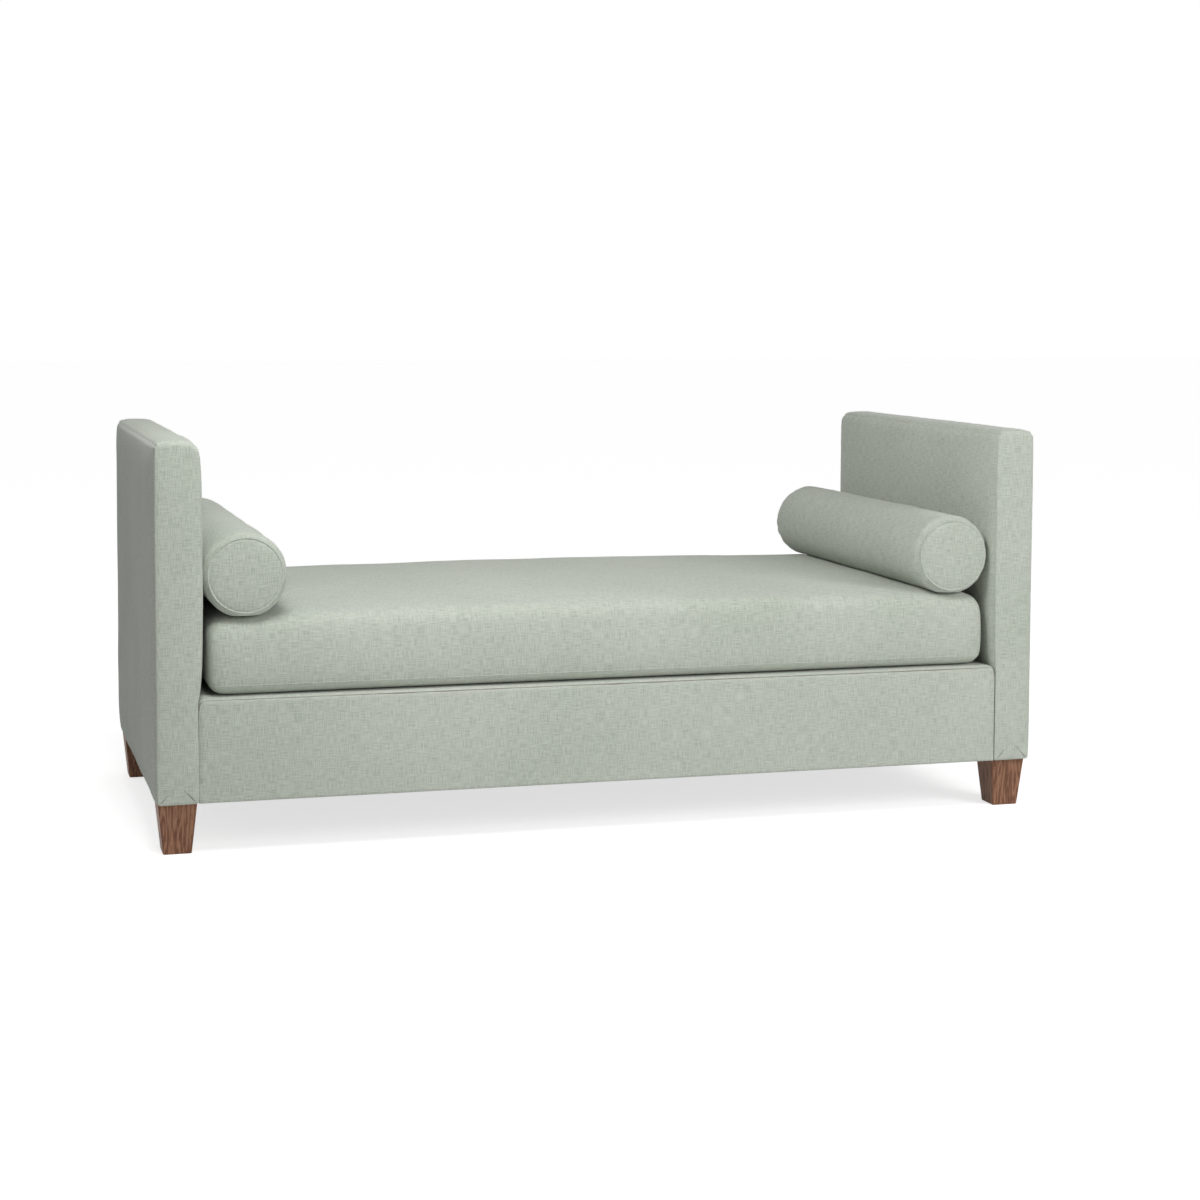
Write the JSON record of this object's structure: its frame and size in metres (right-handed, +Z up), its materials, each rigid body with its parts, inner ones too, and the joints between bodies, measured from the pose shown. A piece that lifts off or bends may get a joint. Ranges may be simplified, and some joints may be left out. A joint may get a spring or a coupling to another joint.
{
  "type": "backless divan",
  "caption": "Long upholstered bench seat with raised slab arms, no back, a loose seat cushion, round side bolsters and tapered wooden legs.",
  "frame": {"origin": "on the floor, under the middle of the divan", "axes": "+X along the length to the right seen from the front, +Y to the back, +Z up"},
  "size_m": [1.946, 0.914, 0.848],
  "materials": {
    "cover_cloth": "plain weave linen look, pale sage",
    "base_cloth": "thin non-woven cloth",
    "foam": "foam under batting",
    "felt": "pressed felt",
    "webbing": "woven strap",
    "frame_wood": "sawn and planed, bare",
    "leg_wood": "stained, satin",
    "hardware": "zinc plated"
  },
  "bodies": {
    "frame": {"right_arm_cover": "cover_cloth", "left_arm_cover": "cover_cloth", "back_base_cover": "cover_cloth", "front_base_cover": "cover_cloth", "deck_cloth": "cover_cloth", "dust_cover": "base_cloth", "right_arm_padding": "foam", "left_arm_padding": "foam", "back_rail_padding": "foam", "front_rail_padding": "foam", "deck_pad": "felt", "long_webbing": "webbing", "cross_webbing": "webbing", "right_arm_outer_panel": "frame_wood", "left_arm_outer_panel": "frame_wood", "right_arm_inner_panel": "frame_wood", "left_arm_inner_panel": "frame_wood", "right_arm_front_post": "frame_wood", "left_arm_front_post": "frame_wood", "right_arm_back_post": "frame_wood", "left_arm_back_post": "frame_wood", "right_arm_top_rail": "frame_wood", "left_arm_top_rail": "frame_wood", "right_arm_bottom_rail": "frame_wood", "left_arm_bottom_rail": "frame_wood", "back_rail": "frame_wood", "front_rail": "frame_wood", "right_end_rail": "frame_wood", "left_end_rail": "frame_wood", "right_cross_stretcher": "frame_wood", "left_cross_stretcher": "frame_wood", "corner_blocks": "frame_wood", "left_front_leg": "leg_wood", "left_back_leg": "leg_wood", "right_front_leg": "leg_wood", "right_back_leg": "leg_wood", "leg_hanger_bolts": "hardware", "leg_inserts": "hardware", "arm_joint_bolts": "hardware", "arm_joint_nuts": "hardware"},
    "seat_cushion": {"seat_cushion_cover": "cover_cloth", "seat_cushion_core": "foam"},
    "right_bolster": {"right_bolster_cover": "cover_cloth", "right_bolster_core": "foam"},
    "left_bolster": {"left_bolster_cover": "cover_cloth", "left_bolster_core": "foam"}
  },
  "joints": [
    {"name": "seat_cushion_lift", "type": "slide", "parent": "frame", "child": "seat_cushion", "axis": [0, 0, 1], "range_m": [0, 0.5]},
    {"name": "right_bolster_lift", "type": "slide", "parent": "seat_cushion", "child": "right_bolster", "axis": [0, 0, 1], "range_m": [0, 0.3]},
    {"name": "left_bolster_lift", "type": "slide", "parent": "seat_cushion", "child": "left_bolster", "axis": [0, 0, 1], "range_m": [0, 0.3]}
  ]
}
